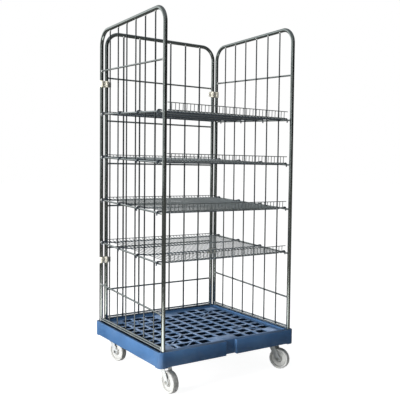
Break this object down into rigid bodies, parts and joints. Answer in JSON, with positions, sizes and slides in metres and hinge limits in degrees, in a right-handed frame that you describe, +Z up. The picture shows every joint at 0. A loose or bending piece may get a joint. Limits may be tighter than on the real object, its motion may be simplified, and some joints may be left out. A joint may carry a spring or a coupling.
{
  "type": "roll cage container",
  "caption": "Wheeled cage with a moulded lattice base, tubular side and back panels with wire infill, an open front, sloping lift-off wire shelves and swivel castors.",
  "frame": {"origin": "on the floor under the middle of the moulded base", "axes": "+X to the right when facing the open front, +Y from the open front towards the back panel, +Z up"},
  "size_m": [0.826, 0.7426, 1.819],
  "materials": {
    "base_plastic": "moulded, lightly grained",
    "tube_steel": "bright zinc plate",
    "wire_steel": "bright zinc plate",
    "shelf_steel": "bright zinc plate",
    "clip_plastic": "natural moulded nylon",
    "castor_steel": "pressed, zinc plated",
    "bolt_steel": "zinc plated",
    "wheel_nylon": "natural moulded nylon",
    "bush_plastic": "moulded",
    "insert_brass": "turned"
  },
  "bodies": {
    "cage": {"base_deck": "base_plastic", "left_panel_frame": "tube_steel", "left_panel_wires": "wire_steel", "left_panel_rods": "wire_steel", "right_panel_frame": "tube_steel", "right_panel_wires": "wire_steel", "right_panel_rods": "wire_steel", "back_panel_frame": "tube_steel", "back_panel_wires": "wire_steel", "back_panel_rods": "wire_steel", "clip_left_lower": "clip_plastic", "clip_left_upper": "clip_plastic", "clip_right_lower": "clip_plastic", "clip_right_upper": "clip_plastic", "castor_front_left_plate": "castor_steel", "castor_front_right_plate": "castor_steel", "castor_rear_left_plate": "castor_steel", "castor_rear_right_plate": "castor_steel", "castor_bolts": "bolt_steel", "castor_inserts": "insert_brass"},
    "front_left_swivel": {"castor_front_left_fork": "castor_steel", "castor_front_left_sleeve": "bolt_steel", "castor_front_left_axle": "bolt_steel"},
    "front_left_wheel": {"castor_front_left_wheel": "wheel_nylon", "castor_front_left_bush": "bush_plastic"},
    "front_right_swivel": {"castor_front_right_fork": "castor_steel", "castor_front_right_sleeve": "bolt_steel", "castor_front_right_axle": "bolt_steel"},
    "front_right_wheel": {"castor_front_right_wheel": "wheel_nylon", "castor_front_right_bush": "bush_plastic"},
    "rear_left_swivel": {"castor_rear_left_fork": "castor_steel", "castor_rear_left_sleeve": "bolt_steel", "castor_rear_left_axle": "bolt_steel"},
    "rear_left_wheel": {"castor_rear_left_wheel": "wheel_nylon", "castor_rear_left_bush": "bush_plastic"},
    "rear_right_swivel": {"castor_rear_right_fork": "castor_steel", "castor_rear_right_sleeve": "bolt_steel", "castor_rear_right_axle": "bolt_steel"},
    "rear_right_wheel": {"castor_rear_right_wheel": "wheel_nylon", "castor_rear_right_bush": "bush_plastic"},
    "shelf_1": {"shelf_1_frame": "shelf_steel", "shelf_1_deck_wires": "shelf_steel", "shelf_1_front_lip": "shelf_steel", "shelf_1_rear_lip": "shelf_steel"},
    "shelf_2": {"shelf_2_frame": "shelf_steel", "shelf_2_deck_wires": "shelf_steel", "shelf_2_front_lip": "shelf_steel", "shelf_2_rear_lip": "shelf_steel"},
    "shelf_3": {"shelf_3_frame": "shelf_steel", "shelf_3_deck_wires": "shelf_steel", "shelf_3_front_lip": "shelf_steel", "shelf_3_rear_lip": "shelf_steel"},
    "shelf_4": {"shelf_4_frame": "shelf_steel", "shelf_4_deck_wires": "shelf_steel", "shelf_4_front_lip": "shelf_steel", "shelf_4_rear_lip": "shelf_steel"}
  },
  "joints": [
    {"name": "front_left_castor_swivel", "type": "hinge", "parent": "cage", "child": "front_left_swivel", "pos_m": [-0.337, -0.286, 0.122], "axis": [0, 0, 1], "continuous": true},
    {"name": "front_left_wheel_roll", "type": "hinge", "parent": "front_left_swivel", "child": "front_left_wheel", "pos_m": [-0.33435, -0.32391, 0.054], "axis": [0.9976, 0.0698, 0], "continuous": true},
    {"name": "front_right_castor_swivel", "type": "hinge", "parent": "cage", "child": "front_right_swivel", "pos_m": [0.337, -0.286, 0.122], "axis": [0, 0, 1], "continuous": true},
    {"name": "front_right_wheel_roll", "type": "hinge", "parent": "front_right_swivel", "child": "front_right_wheel", "pos_m": [0.35185, -0.32098, 0.054], "axis": [0.9205, 0.3907, 0], "continuous": true},
    {"name": "rear_left_castor_swivel", "type": "hinge", "parent": "cage", "child": "rear_left_swivel", "pos_m": [-0.337, 0.286, 0.122], "axis": [0, 0, 1], "continuous": true},
    {"name": "rear_left_wheel_roll", "type": "hinge", "parent": "rear_left_swivel", "child": "rear_left_wheel", "pos_m": [-0.32781, 0.24913, 0.054], "axis": [0.9703, 0.2419, 0], "continuous": true},
    {"name": "rear_right_castor_swivel", "type": "hinge", "parent": "cage", "child": "rear_right_swivel", "pos_m": [0.337, 0.286, 0.122], "axis": [0, 0, 1], "continuous": true},
    {"name": "rear_right_wheel_roll", "type": "hinge", "parent": "rear_right_swivel", "child": "rear_right_wheel", "pos_m": [0.34294, 0.24847, 0.054], "axis": [0.9877, 0.1564, 0], "continuous": true},
    {"name": "shelf_1_lift", "type": "slide", "parent": "cage", "child": "shelf_1", "axis": [0, 0, 1], "range_m": [0, 0.05]},
    {"name": "shelf_2_lift", "type": "slide", "parent": "cage", "child": "shelf_2", "axis": [0, 0, 1], "range_m": [0, 0.05]},
    {"name": "shelf_3_lift", "type": "slide", "parent": "cage", "child": "shelf_3", "axis": [0, 0, 1], "range_m": [0, 0.05]},
    {"name": "shelf_4_lift", "type": "slide", "parent": "cage", "child": "shelf_4", "axis": [0, 0, 1], "range_m": [0, 0.05]}
  ]
}
